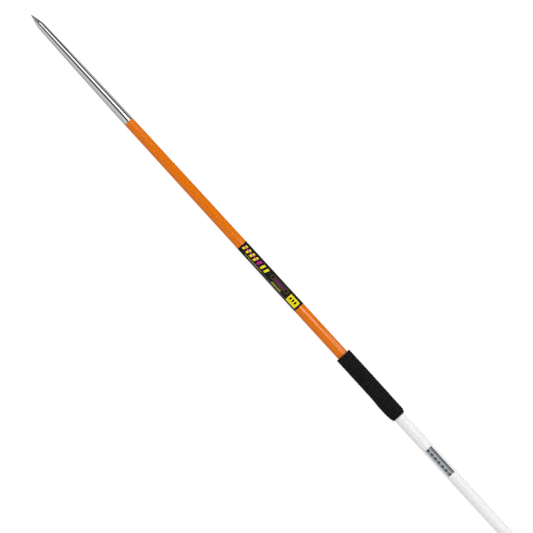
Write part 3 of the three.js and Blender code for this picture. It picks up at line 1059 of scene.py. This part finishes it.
def makeCordBlack():
    material, tree, shader, place = newMaterial("black cord")
    shader.inputs["Specular IOR Level"].default_value = cordFinish["gloss"]
    laid = addNode(tree, "ShaderNodeUVMap", uv_map="alongCord").outputs["UV"]
    axes = addNode(tree, "ShaderNodeSeparateXYZ", {0: laid}).outputs
    braid = useGroup(
        tree, strandGroup, Place=place, Along=axes["X"], Around=axes["Y"],
        Spacing=cordFinish["strand"], Slant=cordFinish["slant"],
    )
    # Painted light and shade: the fibres are lighter on the raised strands of the braid and on the crown
    # of each turn, partly from wear, and darker in the braid's hollows and in the groove between turns.
    raised = remap(tree, braid["Height"], 0, 1, *cordFinish["litHeights"])
    around = calculate(tree, "MULTIPLY", axes["Y"], 2 * math.pi / cordGirth)
    beside = calculate(tree, "ABSOLUTE", calculate(tree, "COSINE", around))
    worn = remap(tree, beside, *cordFinish["worn"], *cordFinish["crown"])
    patchNoise = noise(tree, place, cordFinish["patch"])
    patches = remap(tree, patchNoise, *cordFinish["patchShare"], *noiseCore)
    lit = calculate(tree, "MULTIPLY", raised, braid["Fibres"])
    for share in (worn, patches):
        lit = calculate(tree, "MULTIPLY", lit, share)
    colour = mixColours(tree, lit, cordFinish["colour"], cordFinish["litFibreColour"])
    tree.links.new(colour, shader.inputs["Base Color"])
    tree.links.new(remap(tree, braid["Fibres"], *cordFinish["roughness"]), shader.inputs["Roughness"])
    addBump(tree, shader, braid["Height"], cordFinish["depth"])
    return material


# The cord's section at one place, a rounded box that is cut off at the floor
def cordRing(x, out, centre, thickness, width, fullness):
    power = 2 / fullness
    ring = []
    for side in range(cord["sides"]):
        around = 2 * math.pi * side / cord["sides"]
        rise = signedPower(math.sin(around), power)
        along = signedPower(math.cos(around), power)
        place = Vector((x + along * width / 2, 0, 0)) + out * (centre + rise * thickness / 2)
        place.z = max(place.z, -axisZ)
        ring.append(place)
    return ring


# The cord's rings from the front end to the rear end, and how much cord is wound up to each
def windCord():
    chance = random.Random(cord["seed"])
    wander = [chance.uniform(-1, 1) * cord["wander"] for turn in range(math.ceil(cord["turns"]) + 3)]
    steps = round(cord["turns"] * cord["stepsPerTurn"])
    usualFullness, lastFullness = cord["fullness"]
    rings = []
    lengths = []
    length = 0
    for step in range(steps + 1):
        turn = cord["turns"] * step / steps
        fromRear = cord["turns"] - turn
        whole = math.floor(turn)
        moved = easeIn(turn - whole, *cord["stepOver"]) if fromRear > 1 else 0
        x = gripFrontX + cordWidth / 2 + cordPitch * (whole + moved)
        angle = 2 * math.pi * (turn - cord["turns"] / 2)
        out = Vector((0, math.sin(angle), -math.cos(angle)))
        turned = math.degrees(math.atan2(out.dot(facingUp), out.dot(facingOut)))
        tucked = 1 - easeIn(min(turn, fromRear), 0, cord["tuckTurns"])
        pulled = 1 - easeIn(fromRear, *cord["lastTurns"])
        lift = wander[whole] + (wander[whole + 1] - wander[whole]) * easeIn(turn, whole, whole + 1)
        lift += cord["swell"] * easeIn(x, *cord["swellPlaces"])
        lift -= cord["rearDrop"] * (1 - easeIn(fromRear, 0, cord["rearDropTurns"]))
        fuller = cord["fatter"] + bulgeAt(x, turned)
        thickness = (cordThickness + fuller) * (1 - cord["tuckShare"] * tucked)
        thickness *= 1 - cord["lastShare"] * pulled
        width = cordWidth * (1 - cord["tuckShare"] * tucked)
        centre = tapeRadius + thickness / 2 + max(lift, 0)
        fullness = usualFullness + (lastFullness - usualFullness) * pulled
        rings.append(cordRing(x, out, centre, thickness, width, fullness))
        length += 2 * math.pi * centre * cord["turns"] / steps
        lengths.append(length)
    return rings, lengths


def cordMesh():
    rings, lengths = windCord()
    sides = cord["sides"]
    last = len(rings) - 1
    faces = []
    laid = []  # for each corner of a face, its place along the cord and round it
    for step in range(last):
        for side in range(sides):
            after = (side + 1) % sides
            near = step * sides
            far = near + sides
            faces.append((near + side, far + side, far + after, near + after))
            beside = side + 1
            for ring, share in ((step, side), (step + 1, side), (step + 1, beside), (step, beside)):
                laid += [lengths[ring], cordGirth * share / sides]
    for ring in (0, last):
        faces.append(tuple(ring * sides + side for side in range(sides)))
        laid += [0, 0] * sides
    mesh = bpy.data.meshes.new("wound_cord")
    mesh.from_pydata([place for ring in rings for place in ring], [], faces)
    mesh.uv_layers.new(name="alongCord").data.foreach_set("uv", laid)
    return mesh


finishPiece("wound_cord", cordMesh(), makeCordBlack(), "grip_cord")
print("cord wound")


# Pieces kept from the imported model: the weight, the sleeve and the tape under the cord

inner = {
    "plainSteel": [(0.33, 0.33, 0.34, 1), (0.24, 0.235, 0.23, 1)],
    "plainSteelRoughness": (0.35, 0.55),
    "aluminium": [(0.6, 0.61, 0.62, 1), (0.52, 0.53, 0.54, 1)],
    "aluminiumRoughness": (0.28, 0.45),
    "ringDepth": 0.00001,
    "tape": [(0.028, 0.026, 0.024, 1), (0.05, 0.047, 0.044, 1)],
    "tapeRoughness": (0.8, 0.95),
    "tapeThread": 0.0006,
    "tapeDepth": 0.00006,
}


# These pieces aren't lifted by finishPiece, so their places start at the floor and not at the axis.
def fromAxis(tree, place):
    terms = {0: place, 1: (0, 0, -axisZ)}
    return addNode(tree, "ShaderNodeVectorMath", terms, operation="ADD").outputs[0]


def makeInnerMetal(name, colours, roughness):
    material, tree, shader, place = newMaterial(name, Metallic=1)
    marks = useGroup(tree, turnedGroup, Place=fromAxis(tree, place))
    tree.links.new(mixColours(tree, marks["Smear"], *colours), shader.inputs["Base Color"])
    tree.links.new(remap(tree, marks["Rings"], *roughness, *noiseSpread), shader.inputs["Roughness"])
    addBump(tree, shader, marks["Rings"], inner["ringDepth"])
    return material


def makeTape():
    material, tree, shader, place = newMaterial("cloth tape")
    place = fromAxis(tree, place)
    flat = useGroup(tree, unrolledGroup, Place=place)
    weave = useGroup(
        tree, strandGroup, Place=place, Along=flat["Along"], Around=flat["Around"],
        Spacing=inner["tapeThread"],
    )
    tree.links.new(mixColours(tree, weave["Fibres"], *inner["tape"]), shader.inputs["Base Color"])
    tree.links.new(remap(tree, weave["Fibres"], *inner["tapeRoughness"]), shader.inputs["Roughness"])
    addBump(tree, shader, weave["Height"], inner["tapeDepth"])
    return material


keptMaterials = {
    "balance_slug": makeInnerMetal("plain steel", inner["plainSteel"], inner["plainSteelRoughness"]),
    "joint_sleeve": makeInnerMetal("drawn aluminium", inner["aluminium"], inner["aluminiumRoughness"]),
    "grip_tape": makeTape(),
}
for node, material in keptMaterials.items():
    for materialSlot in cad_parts[node].material_slots:
        materialSlot.material = material
print("inner pieces finished")
